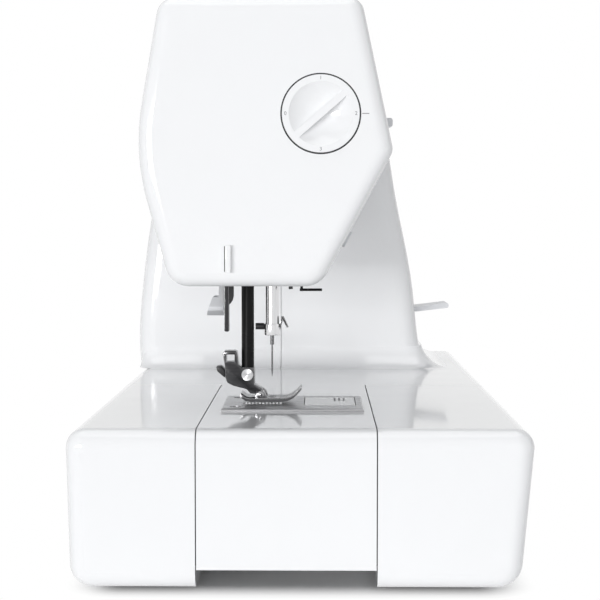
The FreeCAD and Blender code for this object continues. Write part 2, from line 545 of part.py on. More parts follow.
row_offset, row_width = 5.5, 2
cover_low = (s.cover_rear, s.cover_near, s.bed_height + s.plate_rise - s.cover_thick)
cover_high = (s.cover_front, s.cover_far, s.bed_height + s.plate_rise)
slots = [box((s.needle_x - 15, s.needle_y + side - row_width / 2 - 0.5, s.bed_height - 4),
             (s.needle_x + 6.5, s.needle_y + side + row_width / 2 + 0.5, s.bed_height + 4)) for side in (-row_offset, row_offset)]
slots.append(box((s.needle_x - 1.6, s.needle_y - 3.4, s.bed_height - 4), (s.needle_x + 1.6, s.needle_y + 3.4, s.bed_height + 4)))
window = box((cover_low[0] - s.fit_gap, cover_low[1] - s.fit_gap, s.bed_height - 4),
             (cover_high[0] + s.fit_gap, cover_high[1] + s.fit_gap, s.bed_height + 4))
plate_top = s.bed_height + s.plate_rise
screw_spots = [(s.plate_rear + 7, s.plate_near + 9), (s.plate_rear + 7, s.plate_far - 9)]
screw_head_d, screw_shank_d = 6, 3
plate = doc.addObject("Part::Box", "plate")
bind(plate, Length=plate_high[0] - plate_low[0], Width=plate_high[1] - plate_low[1], Height=s.plate_thick)
place(plate, plate_low)
plate_edge = rounded(plate, 1, lambda e: level(e, "Z", plate_top))
head_holes = [rod(screw_head_d, 6, (x, y, plate_top - 1.3)) for x, y in screw_spots]
shank_holes = [rod(screw_shank_d, 12, (x, y, plate_top - 8)) for x, y in screw_spots]
keep("needle_plate", cut(plate_edge, *slots, window, *head_holes, *shank_holes))
screws = []
for x, y in screw_spots:
    slotted = box((x - 4, y - 0.5, plate_top - 0.8), (x + 4, y + 0.5, plate_top + 1))
    head = rod(screw_head_d, 1.1, (x, y, plate_top - 1.3))
    screws.append(cut(fuse(head, rod(screw_shank_d, 1.3, (x, y, plate_top - s.plate_thick))), slotted))
keep("plate_screws", together(*screws))
keep("bobbin_cover", box(cover_low, cover_high))

feed_top = plate_top + 0.5
rows = []
for side in (-row_offset, row_offset):
    bar = box((s.needle_x - 13.7, s.needle_y + side - row_width / 2, s.bed_height - 5.5),
              (s.needle_x + 5.2, s.needle_y + side + row_width / 2, feed_top))
    notches = [box((s.needle_x - 13 + 1.8 * i, s.needle_y + side - 3, feed_top - 0.7),
                   (s.needle_x - 12.1 + 1.8 * i, s.needle_y + side + 3, feed_top + 1)) for i in range(10)]
    rows.append(cut(bar, *notches))
bridge_low = (s.needle_x - 17, s.needle_y - row_offset - 1, s.bed_height - 10)
bridge = box(bridge_low, (s.needle_x - 4, s.needle_y + row_offset + 1, s.bed_height - 4.5))
keep("feed_dog", fuse(bridge, *rows))

hook_xy = (hook_x, hook_y)
hook_top = s.hook_bottom + s.hook_depth
hook_wall = 1.8
cup = cut(rod(s.hook_d, s.hook_depth, hook_xy + (s.hook_bottom,)),
          rod(s.hook_d - hook_wall * 2, s.hook_depth, hook_xy + (s.hook_bottom + 2,)))
stem_low = s.lower_height - 8
keep("rotary_hook", fuse(cup, rod(s.hook_shaft_d, s.hook_bottom - stem_low + 1, hook_xy + (stem_low,))))
case_d = s.hook_d - hook_wall * 2 - 0.8
case_low = s.hook_bottom + 2.6
case = cut(rod(case_d, s.hook_depth - 1, hook_xy + (case_low,)), rod(case_d - 2.8, s.hook_depth, hook_xy + (case_low + 1.4,)))
stop = box((hook_x + case_d / 2 - 1.4, hook_y - 3, case_low + 8), (hook_x + case_d / 2 - 0.1, hook_y + 3, plate_low[2]))
post = rod(s.hook_shaft_d - 0.2, s.bobbin_width, hook_xy + (case_low + 1,))
keep("bobbin_case", fuse(case, stop, post))
bobbin_z = case_low + 1.7
flange = 1
ends = [rod(s.bobbin_d, flange, hook_xy + (z,)) for z in (bobbin_z, bobbin_z + s.bobbin_width - flange)]
core = rod(s.bobbin_d * 0.45, s.bobbin_width, hook_xy + (bobbin_z,))
keep("bobbin", cut(fuse(core, *ends), rod(s.hook_shaft_d - 0.2 + s.bar_fit * 2, 30, hook_xy + (bobbin_z - 5,))))


# Toothed wheels and belts


def toothed(diameter, width, teeth, depth, at, axis, bore):
    """A wheel with straight teeth cut in its rim."""
    blank = rod(diameter, width, at, axis)
    radius = float(diameter) / 2
    spin = Rotation(AXES["Z"], AXES[axis])
    notches = []
    for i in range(teeth):
        angle = 2 * math.pi * i / teeth
        wide = math.pi * radius / teeth
        block = Part.makeBox(float(depth) * 2, wide, float(width) + 2, Vector(radius - float(depth), -wide / 2, -1))
        block.rotate(Vector(0, 0, 0), AXES["Z"], math.degrees(angle))
        notches.append(block)
    comb = solid(Part.makeCompound(notches))
    place(comb, at, spin)
    return cut(blank, comb, rod(bore, width + 2, tuple(c - AXES[axis][i] for i, c in enumerate(at)), axis))


def hull(first, first_radius, second, second_radius, y0, y1):
    """The outline of a belt round two wheels, drawn out along Y."""
    a, b = Vector(float(first[0]), 0, float(first[1])), Vector(float(second[0]), 0, float(second[1]))
    along = (b - a).normalize()
    across = Vector(-along.z, 0, along.x)
    cosine = (first_radius - second_radius) / (b - a).Length
    sine = math.sqrt(1 - cosine * cosine)
    left, right = along * cosine + across * sine, along * cosine - across * sine
    lift = Vector(0, float(y0), 0)
    p = [a + left * first_radius, b + left * second_radius, b + right * second_radius, a + right * first_radius]
    edges = [Part.LineSegment(p[0] + lift, p[1] + lift).toShape(),
             Part.Arc(p[1] + lift, b + along * second_radius + lift, p[2] + lift).toShape(),
             Part.LineSegment(p[2] + lift, p[3] + lift).toShape(),
             Part.Arc(p[3] + lift, a - along * first_radius + lift, p[0] + lift).toShape()]
    return Part.Face(Part.Wire(edges)).extrude(Vector(0, float(y1) - float(y0), 0))


def belt(first, first_d, second, second_d, y0, y1):
    gap = 0.3
    radii = float(first_d) / 2 + gap, float(second_d) / 2 + gap
    thick = float(s.belt_thick)
    band = hull(first, radii[0] + thick, second, radii[1] + thick, y0, y1)
    return solid(band.cut(hull(first, radii[0], second, radii[1], float(y0) - 1, float(y1) + 1)))


# Upper shaft, drive and lower shaft

shaft_xz = (s.needle_x, s.shaft_height)
shaft_near = crank_y + 1
wheel_y = s.half_length - s.wheel_thick


def on_shaft(y):
    return (s.needle_x, y, s.shaft_height)


keep("upper_shaft", rod(s.shaft_d, wheel_y + 8 - shaft_near, on_shaft(shaft_near), "Y"))
crank = fuse(rod(s.crank_d, s.crank_thick, on_shaft(crank_y), "Y"),
             rod(6, pin_length + 1, (s.needle_x, crank_y - pin_length, pin_z), "Y"))
keep("crank_disc", cut(crank, rod(s.shaft_d, s.crank_thick, on_shaft(shaft_near), "Y")))
rim = rounded(rod(s.wheel_d, s.wheel_thick, on_shaft(wheel_y), "Y"), 4, lambda e: level(e, "Y", s.half_length))
keep("handwheel", cut(rim, rod(s.shaft_d, 8, on_shaft(wheel_y), "Y"),
                      rod(s.wheel_d * 0.5, 3, on_shaft(s.half_length - 2), "Y")))
keep("upper_pulley", toothed(s.pulley_d, s.pulley_width, 18, 1, on_shaft(s.pulley_y), "Y", s.shaft_d))
keep("drive_pulley", cut(rod(s.drive_pulley_d, s.pulley_width, on_shaft(s.drive_y), "Y"),
                         rod(s.shaft_d, s.pulley_width + 2, on_shaft(s.drive_y - 1), "Y")))
lower_near = hook_y - 12


def on_lower(y):
    return (s.needle_x, y, s.lower_height)


keep("lower_shaft", rod(s.lower_d, s.pulley_y + s.pulley_width + 3 - lower_near, on_lower(lower_near), "Y"))
keep("lower_pulley", toothed(s.pulley_d, s.pulley_width, 18, 1, on_lower(s.pulley_y), "Y", s.lower_d))
keep("lower_gear", toothed(s.lower_gear_d, 8, 24, 1.2, on_lower(hook_y - 4), "Y", s.lower_d))
keep("hook_gear", toothed(s.hook_gear_d, 10, 12, 1.2, (hook_x, hook_y, s.lower_height - 5), "Z", s.hook_shaft_d))
keep("timing_belt", belt(shaft_xz, s.pulley_d, (s.needle_x, s.lower_height), s.pulley_d, s.pulley_y, s.pulley_y + s.pulley_width))
keep("drive_belt", belt(shaft_xz, s.drive_pulley_d, (s.motor_x, s.motor_height), s.motor_pulley_d,
                        s.drive_y, s.drive_y + s.pulley_width))
motor_at = (s.motor_x, s.motor_y, s.motor_height)
nose = rod(s.motor_d * 0.5, 6, (s.motor_x, s.motor_y + s.motor_length - 1, s.motor_height), "Y")
motor_block = fuse(rod(s.motor_d, s.motor_length, motor_at, "Y"), nose)
motor_bore = rod(s.motor_shaft_d + s.bar_fit * 2, 40, (s.motor_x, s.motor_y + 20, s.motor_height), "Y")
keep("motor", cut(motor_block, motor_bore))
keep("motor_pulley", fuse(rod(s.motor_pulley_d, s.pulley_width, (s.motor_x, s.drive_y, s.motor_height), "Y"),
                          rod(s.motor_shaft_d, s.drive_y - s.motor_y - 20.5, (s.motor_x, s.motor_y + 21, s.motor_height), "Y")))

# Cast frame with its bearings

web_x, web_x1 = s.presser_x - 29.6, lifter_low - 0.6
post_x, post_x1 = lifter_high + 0.6, s.presser_x - 7.1
guide_y, guide_y1 = s.needle_y - 6.5, s.needle_y + 6
guide_x1 = s.needle_x + 7.6
deck = s.arm_underside + s.wall + 0.6
deck_top = deck + 4
near_bearing, far_bearing = crank_y + s.crank_thick + 5, s.drive_y + s.pulley_width + 7
leg_y, leg_y1 = s.motor_y - 4, s.motor_y + 42
rail_top = s.shaft_height + 12
frame = fuse(
    box((s.arm_rear + s.wall + 1, -s.half_length + 15, deck), (s.arm_front - s.wall - 4.9, leg_y1, deck_top)),
    box((web_x, leg_y, deck), (s.arm_front - 8, leg_y1, deck_top)),
    box((web_x, leg_y, deck), (web_x1, leg_y1, rail_top)),
    box((web_x, guide_y, s.shaft_height - 12), (web_x1, far_bearing + 10, rail_top)),
    box((web_x, guide_y, s.guide_low), (web_x1, near_bearing + 10, rail_top)),
    box((web_x, guide_y, rail_top - 10), (post_x1, guide_y1, rail_top)),
    box((post_x, guide_y, s.guide_low), (post_x1, guide_y1, rail_top)),
    box((post_x, guide_y, s.guide_low), (guide_x1, guide_y1, s.guide_low + s.guide_thick)),
    box((post_x, guide_y, s.guide_high), (guide_x1, guide_y1, s.guide_high + s.guide_thick)),
    box((strip_low - 3, strip_y - 2.4, s.guide_low + 2), (strip_high + 3, guide_y + 1, s.guide_low + 7)),
    rod(lifter_pin_d, lifter_high - web_x1 + 0.4, (web_x1 - 1, lifter_y, lifter_z), "X"),
    box((web_x, near_bearing, s.shaft_height - 10), (s.needle_x + 9.6, near_bearing + 10, s.shaft_height + 10)),
    box((web_x, far_bearing, s.shaft_height - 10), (s.needle_x + 9.6, far_bearing + 10, s.shaft_height + 10)),
    box((s.needle_x + 8, near_bearing + 9, s.tension_height - 6), (s.tension_x + 5, near_bearing + 14, s.tension_height + 6)),
    box((s.needle_x - 10, hook_y + 17, deck_top - 1), (s.needle_x + 10, hook_y + 25, s.lower_height + 10)),
    box((s.needle_x - 10, leg_y1 - 12, deck_top - 1), (s.needle_x + 10, leg_y1 - 2, s.lower_height + 10)),
    box((hook_x - 6, hook_y - 7.5, s.lower_height + 8), (hook_x + 14, hook_y + 7.5, s.hook_bottom - 4)),
    box((hook_x + 8, hook_y - 7.5, deck_top - 1), (hook_x + 14, hook_y + 7.5, s.hook_bottom - 4)),
    box((s.needle_x - 25, guide_y, deck_top - 1), (bridge_low[0] - 0.4, guide_y1, s.bed_height - 8)),
    box((web_x, leg_y, s.motor_height - 10), (s.motor_x + 22, s.motor_y, s.motor_height + 10)),
)
bush_d = s.shaft_d + s.bar_fit * 2 + s.bush_wall * 2
bores = [
    rod(bar_hole, 200, needle_xy + (130,)), rod(presser_hole, 200, presser_xy + (130,)),
    rod(bush_d, 14, on_shaft(near_bearing - 2), "Y"), rod(bush_d, 14, on_shaft(far_bearing - 2), "Y"),
    rod(s.lower_d + s.bar_fit * 2, 300, on_lower(lower_near - 5), "Y"),
    rod(s.hook_shaft_d + s.bar_fit * 2, 40, hook_xy + (s.lower_height - 4,)),
    box((strip_low - 0.3, strip_y - 0.3, s.guide_low - 1), (strip_high + 0.3, strip_y + 5.3, s.guide_low + 9)),
]
tension_axle_d = 5
axle_y = s.tension_y - s.tension_width / 2 - 3
axle = rod(tension_axle_d, near_bearing + 14 - axle_y, (s.tension_x, axle_y, s.tension_height), "Y")
keep("main_frame", fuse(cut(frame, *bores), axle))
bushes = [cut(rod(bush_d, 10, on_shaft(y), "Y"), rod(s.shaft_d + s.bar_fit * 2, 12, on_shaft(y - 1), "Y"))
          for y in (near_bearing, far_bearing)]
keep("shaft_bushes", together(*bushes))
spool_at = (web_x + 3.4, s.spool_y, rail_top)
keep("spool_pin", rod(5, 26, spool_at))

# Controls on the front, and the openings that they need

tension_at = (s.tension_x, s.tension_y - s.tension_width / 2, s.tension_height)
keep("tension_dial", toothed(s.tension_d, s.tension_width, 40, 0.5, tension_at, "Y", s.bar_fit * 2 + tension_axle_d))
front_tools = [box((s.tension_x + 4, tension_at[1] - 0.5, s.tension_height - 15), (s.tension_x + 30, tension_at[1] + s.tension_width + 0.5, s.tension_height + 15))]

slider_near, slider_low = s.slider_y - s.slider_long / 2, s.slider_height - s.slider_tall / 2
slider_knob = box((s.slider_reach - 19.4, slider_near, slider_low), (s.slider_reach, slider_near + s.slider_long, slider_low + s.slider_tall))
slider_knob = rounded(slider_knob, 1.6, lambda e: level(e, "X", s.slider_reach))
slider_foot = box((s.slider_reach - 20, slider_near - 5, slider_low - 3), (s.slider_reach - 16, slider_near + s.slider_long + 5, slider_low + s.slider_tall + 3))
keep("speed_slider", fuse(slider_knob, slider_foot))
half_travel = s.slider_travel / 2 + 0.5
front_tools.append(box((s.slider_reach - 15, slider_near - half_travel, slider_low - 0.4),
                       (s.slider_reach, slider_near + s.slider_long + half_travel, slider_low + s.slider_tall + 0.4)))

chin_x, chin_z = s.head_front - s.head_foot_front, s.head_front_height - s.head_bottom
chin = math.hypot(float(chin_x), float(chin_z))
out_x, out_z = chin_z / chin, -chin_x / chin
spot_x = s.head_foot_front + chin_x * s.button_share
spot_z = s.head_bottom + chin_z * s.button_share
lean = Rotation(AXES["Z"], Vector(float(out_x), 0, float(out_z)))
inward = s.button_length - s.button_proud
for i, name in enumerate(("start_button", "needle_button")):
    at = (spot_x - out_x * inward, s.button_y + s.button_pitch * i, spot_z - out_z * inward)
    button = rod(s.button_d, s.button_length, at)
    keep(name, place(button, at, lean))
    hole = rod(s.button_d + s.button_gap * 2, s.button_length * 2, at)
    front_tools.append(place(hole, at, lean))

panel_block = box((s.half_depth - 90, s.panel_near, s.panel_low), (s.half_depth, s.panel_far, s.panel_high))
panel_gap = box((s.half_depth - 90, s.panel_near - s.fit_gap, s.panel_low - s.fit_gap),
                (s.half_depth, s.panel_far + s.fit_gap, s.panel_high + s.fit_gap))
front_tools.append(panel_gap)
key_height = s.panel_low + 18
key_y = (s.panel_near + s.panel_far) / 2
key_tip = s.key_proud + 64.9
key_holes = []
for i, name in enumerate(("key_left", "key_middle", "key_right")):
    at = (key_tip - 9, key_y + s.key_pitch * (i - 1), key_height)
    keep(name, rod(s.key_d, 9, at, "X"))
    key_holes.append(rod(s.key_d + s.key_gap * 2, 20, (at[0] - 4, at[1], at[2]), "X"))
front_solid = solid(front_shape)
keep("control_panel", common(front_solid, cut(panel_block, *key_holes)))

lever_near = s.lever_y - s.lever_wide / 2
lever_half = s.lever_thick / 2
lever_low = s.lever_height - lever_half
lever_x, lever_x1, lever_z = float(s.lever_pivot_x), float(s.lever_reach), float(s.lever_height)
lever_h, lever_rise = float(lever_half), float(s.lever_rise)
lever_points = [(lever_x, lever_z + lever_h), (lever_x1, lever_z + lever_h + lever_rise),
                (lever_x1, lever_z - lever_h + lever_rise), (lever_x, lever_z - lever_h)]
lever = solid(prism_y(lever_points, [0.5, 1.2, 1.2, 0.5], lever_near, lever_near + s.lever_wide))
lever_hub = rod(9, s.lever_wide, (s.lever_pivot_x, lever_near, s.lever_height), "Y")
lever_bore = rod(s.lever_pin_d + s.bar_fit * 2, s.lever_wide + 2, (s.lever_pivot_x, lever_near - 1, s.lever_height), "Y")
keep("reverse_lever", cut(fuse(lever, lever_hub), lever_bore))
front_tools.append(box((s.lever_pivot_x, lever_near - 0.6, lever_low - s.lever_drop),
                       (s.half_depth, lever_near + s.lever_wide + 0.6, s.lever_height + lever_half + s.lever_rise)))
lugs = [box((s.lever_pivot_x - 5, y, s.lever_height - 5), (s.lever_pivot_x + 7, y + 4, s.lever_height + 5))
        for y in (lever_near - 5, lever_near + s.lever_wide + 1)]
pin_y = lever_near - 5
lever_pin = rod(s.lever_pin_d, s.lever_wide + 10, (s.lever_pivot_x, pin_y, s.lever_height), "Y")
shaft_hole = rod(s.shaft_d + 4, 20, on_shaft(s.casing_end - 10), "Y")
keep("front_shell", cut(fuse(cut(front_solid, *front_tools), *lugs, lever_pin), shaft_hole))
keep("rear_shell", fuse(cut(solid(rear_shape), shaft_hole, *grooves), *pins))

# Small fixed pieces

wire_y = s.needle_y - 8
keep("thread_guide", fuse(rod(1.4, 11.6, (s.needle_x + 14.6, wire_y, s.head_bottom - 3.8), "X"),
                          rod(1.4, 4.5, (s.needle_x + 15.6, wire_y, s.head_bottom - 4.5))))
keep("lamp", box((s.needle_x + 10, s.needle_y + 14, s.head_bottom - 1.5), (s.needle_x + 16.6, s.needle_y + 34, s.head_bottom)))
switch_low = s.switch_height - s.switch_tall / 2 + s.switch_gap
rocker = box((s.switch_x + s.switch_gap, s.casing_end - 6, switch_low),
             (s.switch_x + s.switch_wide - s.switch_gap, s.casing_end + 1.5, switch_low + s.switch_tall - s.switch_gap * 2))
rocker = cut(rocker, taper(0.2, 19, 3, (s.switch_x - 1, s.casing_end + 1.5, s.switch_height + 30), "Y"))
keep("power_switch", fuse(rocker, rod(s.switch_pin_d, s.switch_wide + 2.4, (s.switch_x - 1.2, s.casing_end - 1.5, s.switch_height), "X")))
inlet_low = (s.inlet_x + s.fit_gap, s.casing_end - 16, s.switch_height - s.switch_tall / 2 + s.fit_gap)
inlet_high = (s.inlet_x + s.inlet_wide - s.fit_gap, s.casing_end + 0.6, s.switch_height + s.switch_tall / 2 - s.fit_gap)
inlet = cut(box(inlet_low, inlet_high), box((inlet_low[0] + 3, inlet_low[1] + 4, inlet_low[2] + 3),
                                            (inlet_high[0] - 3, inlet_high[1] + 1, inlet_high[2] - 3)))
prongs = [rod(2.4, 10, (s.inlet_x + s.inlet_wide * share, s.casing_end - 13, s.switch_height), "Y") for share in (0.35, 0.65)]
keep("power_inlet", fuse(inlet, *prongs))

# Check every object, then write each piece

doc.recompute()
for obj in doc.Objects:
    if "Invalid" in obj.State or "Error" in obj.State:
        raise RuntimeError(f"{obj.Label} did not build: {obj.State}")
    shape = getattr(obj, "Shape", None)
    if shape is not None and (shape.isNull() or not shape.isValid()):
        raise RuntimeError(f"{obj.Label} has a broken shape")
os.makedirs("parts", exist_ok=True)
for obj in subparts:
    obj.Shape.exportStep(f"parts/{obj.Label}.step")
print(len(subparts), "pieces written")
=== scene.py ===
import math

import bpy
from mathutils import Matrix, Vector


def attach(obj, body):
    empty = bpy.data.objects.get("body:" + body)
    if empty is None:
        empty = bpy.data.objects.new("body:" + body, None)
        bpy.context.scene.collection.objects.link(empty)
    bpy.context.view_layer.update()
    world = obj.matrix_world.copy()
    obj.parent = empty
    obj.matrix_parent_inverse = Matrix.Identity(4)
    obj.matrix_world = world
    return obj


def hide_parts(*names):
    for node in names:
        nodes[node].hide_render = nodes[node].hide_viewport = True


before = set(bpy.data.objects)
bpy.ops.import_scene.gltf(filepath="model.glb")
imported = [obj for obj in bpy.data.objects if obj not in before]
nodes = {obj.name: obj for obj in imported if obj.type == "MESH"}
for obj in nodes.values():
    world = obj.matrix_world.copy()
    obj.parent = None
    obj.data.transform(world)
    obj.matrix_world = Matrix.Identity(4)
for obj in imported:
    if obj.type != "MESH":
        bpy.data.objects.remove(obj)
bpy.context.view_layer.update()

MM = 0.001
NOISE_LOW, NOISE_HIGH = 0.3, 0.7
FLOW_SCALE = 9.0
GLOSS_SCALE, GLOSS_DETAIL = 40.0, 5.0
SKIN_DEPTH = 0.0002
MARK_SCALE, MARK_DETAIL = 900.0, 4.0
MARK_DEPTH = 0.0001
EDGE_START, EDGE_FULL = 0.995, 0.93
scene = bpy.context.scene


def mm(*values):
    """A point given in millimetres, in metres."""
    return Vector([v * MM for v in values])


# Materials


def new_material(name, color, roughness, metallic=0.0):
    """A principled material, with its nodes at hand."""
    material = bpy.data.materials.new(name)
    material.use_nodes = True
    tree = material.node_tree
    shader = tree.nodes["Principled BSDF"]
    shader.inputs["Base Color"].default_value = (*color, 1)
    shader.inputs["Roughness"].default_value = roughness
    shader.inputs["Metallic"].default_value = metallic
    return material, tree, shader


def add_node(tree, kind, **settings):
    """A node with its settings made."""
    node = tree.nodes.new(kind)
    for name, value in settings.items():
        setattr(node, name, value)
    return node


def object_coordinates(tree, scale=(1, 1, 1)):
    """Object coordinates, stretched by a scale."""
    source = add_node(tree, "ShaderNodeTexCoord")
    mapping = add_node(tree, "ShaderNodeMapping")
    mapping.inputs["Scale"].default_value = scale
    tree.links.new(source.outputs["Object"], mapping.inputs["Vector"])
    return mapping.outputs["Vector"]


def noise(tree, vector, scale, detail=3.0):
    """A soft random value over the surface."""
    node = add_node(tree, "ShaderNodeTexNoise")
    node.inputs["Scale"].default_value = scale
    node.inputs["Detail"].default_value = detail
    tree.links.new(vector, node.inputs["Vector"])
    return node.outputs["Fac"]


def spread(tree, value, low, high):
    """Maps a noise value to a range."""
    node = add_node(tree, "ShaderNodeMapRange")
    node.inputs["From Min"].default_value = NOISE_LOW
    node.inputs["From Max"].default_value = NOISE_HIGH
    node.inputs["To Min"].default_value = low
    node.inputs["To Max"].default_value = high
    tree.links.new(value, node.inputs["Value"])
    return node.outputs["Result"]


def tint(tree, shader, value, dark, light):
    """Lets the colour wander between two near tones."""
    node = add_node(tree, "ShaderNodeMix", data_type="RGBA")
    node.inputs["A"].default_value = (*dark, 1)
    node.inputs["B"].default_value = (*light, 1)
    tree.links.new(value, node.inputs["Factor"])
    tree.links.new(node.outputs["Result"], shader.inputs["Base Color"])


def relief(tree, shader, value, strength, distance):
    """Raises a fine relief from a value."""
    node = add_node(tree, "ShaderNodeBump")
    node.inputs["Strength"].default_value = strength
    node.inputs["Distance"].default_value = distance
    tree.links.new(value, node.inputs["Height"])
    tree.links.new(node.outputs["Normal"], shader.inputs["Normal"])


def plastic(name, dark, light, roughness, grain, coat=0.0, skin=0.05):
    """Moulded plastic: slight flow marks in its tone, uneven gloss and a fine skin."""
    material, tree, shader = new_material(name, light, roughness)
    vector = object_coordinates(tree)
    tint(tree, shader, noise(tree, vector, FLOW_SCALE), dark, light)
    wear = noise(tree, vector, GLOSS_SCALE, GLOSS_DETAIL)
    gloss = spread(tree, wear, roughness * 0.8, roughness * 1.25)
    tree.links.new(gloss, shader.inputs["Roughness"])
    relief(tree, shader, noise(tree, vector, grain), skin, SKIN_DEPTH)
    shader.inputs["Coat Weight"].default_value = coat
    shader.inputs["Coat Roughness"].default_value = 0.05
    return material


def metal(name, dark, light, roughness, stretch, strength=0.08):
    """Metal with fine drawn or turned marks along one direction."""
    material, tree, shader = new_material(name, light, roughness, 1.0)
    vector = object_coordinates(tree, stretch)
    marks = noise(tree, vector, MARK_SCALE, MARK_DETAIL)
    tint(tree, shader, marks, dark, light)
    gloss = spread(tree, marks, roughness * 0.7, roughness * 1.3)
    tree.links.new(gloss, shader.inputs["Roughness"])
    relief(tree, shader, marks, strength, MARK_DEPTH)
    return material


def painted_edge_highlights(material, radius, highlight_tone):
    """Painted highlight: lightens the colour along a piece's edges, where light glints on them."""
    tree = material.node_tree
    shader = tree.nodes["Principled BSDF"]
    rounding = add_node(tree, "ShaderNodeBevel")
    rounding.inputs["Radius"].default_value = radius * MM
    surface = add_node(tree, "ShaderNodeNewGeometry")
    along = add_node(tree, "ShaderNodeVectorMath", operation="DOT_PRODUCT")
    tree.links.new(rounding.outputs["Normal"], along.inputs[0])
    tree.links.new(surface.outputs["True Normal"], along.inputs[1])
    mask = add_node(tree, "ShaderNodeMapRange")
    mask.inputs["From Min"].default_value = EDGE_START
    mask.inputs["From Max"].default_value = EDGE_FULL
    tree.links.new(along.outputs["Value"], mask.inputs["Value"])
    node = add_node(tree, "ShaderNodeMix", data_type="RGBA")
    node.inputs["B"].default_value = (*highlight_tone, 1)
    tree.links.new(mask.outputs["Result"], node.inputs["Factor"])
    tree.links.new(shader.inputs["Base Color"].links[0].from_socket, node.inputs["A"])
    tree.links.new(node.outputs["Result"], shader.inputs["Base Color"])
    return material


WHITE = plastic("white_plastic", (0.82, 0.825, 0.835), (0.85, 0.855, 0.865), 0.09, 500.0, 0.5, 0.012)
GREY = plastic("pale_grey_plastic", (0.68, 0.69, 0.71), (0.74, 0.75, 0.77), 0.35, 1200.0)
BLACK = plastic("black_plastic", (0.010, 0.010, 0.011), (0.022, 0.022, 0.024), 0.35, 1500.0)
# Painted shade: a near-black for the pieces that stand in for the shade inside gaps, the cutter's slit
# and the dial's ring
GAP_SHADE = plastic("painted_gap_shade", (0.02, 0.02, 0.022), (0.03, 0.03, 0.032), 0.6, 900.0)
PRINT = plastic("grey_print", (0.16, 0.16, 0.17), (0.22, 0.22, 0.23), 0.5, 900.0)
RUBBER = plastic("rubber", (0.015, 0.015, 0.015), (0.04, 0.04, 0.04), 0.8, 1500.0)
LENS = plastic("lamp_lens", (0.85, 0.85, 0.80), (0.92, 0.92, 0.88), 0.3, 400.0)
STEEL = metal("bright_steel", (0.62, 0.62, 0.63), (0.78, 0.78, 0.79), 0.2, (1, 1, 0.05))
BAR = plastic("blackened_bar", (0.004, 0.004, 0.004), (0.010, 0.010, 0.011), 0.3, 1500.0)
dark_chrome = metal("dark_chrome", (0.025, 0.025, 0.027), (0.08, 0.08, 0.083), 0.14, (0.2, 1, 1), 0.03)
# The dark chrome here and the foot steel below get a painted highlight, a lighter colour along their
# edges
CHROME = painted_edge_highlights(dark_chrome, 0.35, (0.55, 0.55, 0.56))
foot_steel = metal("foot_steel", (0.06, 0.06, 0.063), (0.16, 0.16, 0.165), 0.15, (0.1, 1, 1), 0.04)
FOOT = painted_edge_highlights(foot_steel, 0.3, (0.7, 0.7, 0.71))
PLATE = metal("brushed_plate", (0.33, 0.33, 0.34), (0.46, 0.46, 0.47), 0.3, (0.04, 1, 1), 0.15)
CAST = metal("cast_frame", (0.45, 0.46, 0.47), (0.58, 0.59, 0.6), 0.5, (1, 1, 1), 0.2)
TEETH = metal("bright_teeth", (0.80, 0.80, 0.81), (0.93, 0.93, 0.94), 0.35, (1, 1, 1))
NEEDLE_STEEL = metal("needle_steel", (0.10, 0.10, 0.105), (0.2, 0.2, 0.205), 0.25, (1, 1, 0.05))
BRONZE = metal("bronze_bush", (0.5, 0.34, 0.15), (0.65, 0.46, 0.22), 0.35, (1, 0.1, 1))

# Turned screw head, with rings round its axis

TURNED, turned_tree, turned_shader = new_material("turned_steel", (0.72, 0.72, 0.73), 0.3, 1.0)
turned_shader.inputs["Anisotropic"].default_value = 0.9
rings = add_node(turned_tree, "ShaderNodeTangent", direction_type="RADIAL", axis="Y")
turned_tree.links.new(rings.outputs["Tangent"], turned_shader.inputs["Tangent"])

# The blackened bar hardly shines, and the bobbin cover is half clear

BAR.node_tree.nodes["Principled BSDF"].inputs["Specular IOR Level"].default_value = 0.12
CLEAR, clear_tree, clear_shader = new_material("clear_cover", (0.95, 0.96, 0.96), 0.05)
clear_shader.inputs["Transmission Weight"].default_value = 0.45
clear_shader.inputs["IOR"].default_value = 1.45
clear_vector = object_coordinates(clear_tree)
relief(clear_tree, clear_shader, noise(clear_tree, clear_vector, 300.0), 0.03, 0.0001)

LOOKS = {}
for look, names in (
        (GREY, "bottom_plate presser_lifter speed_slider start_button needle_button key_left"),
        (GREY, "key_middle key_right reverse_lever tension_dial spool_pin drive_pulley"),
        (BLACK, "bobbin_case foot_release clamp_screw power_switch power_inlet hook_gear"),
        (BLACK, "lower_gear motor upper_pulley lower_pulley"),
        (CHROME, "buttonhole_lever plate_screws foot_holder"),
        (CLEAR, "bobbin_cover"),
        (NEEDLE_STEEL, "needle"),
        (STEEL, "needle_bar needle_clamp presser_foot upper_shaft lower_shaft rotary_hook"),
        (STEEL, "presser_spring motor_pulley crank_disc needle_bar_link"),
        (TURNED, "holder_screw"),
        (TEETH, "feed_dog"),
        (PLATE, "needle_plate"),
        (BAR, "presser_bar thread_guide"),
        (CAST, "main_frame"),
        (BRONZE, "shaft_bushes"),
        (RUBBER, "rubber_feet timing_belt drive_belt"),
        (LENS, "lamp bobbin")):
    LOOKS.update(dict.fromkeys(names.split(), look))
for name, node in nodes.items():
    node.data.materials.clear()
    node.data.materials.append(LOOKS.get(name, WHITE))

# Modelling steps


def only(piece):
    """Makes a piece the one selected and active object."""
    bpy.ops.object.select_all(action="DESELECT")
    piece.select_set(True)
    bpy.context.view_layer.objects.active = piece


def rectangle(left, low, right, high):
    """The corners of a rectangle, from the low left one round."""
    return [(left, low), (right, low), (right, high), (left, high)]


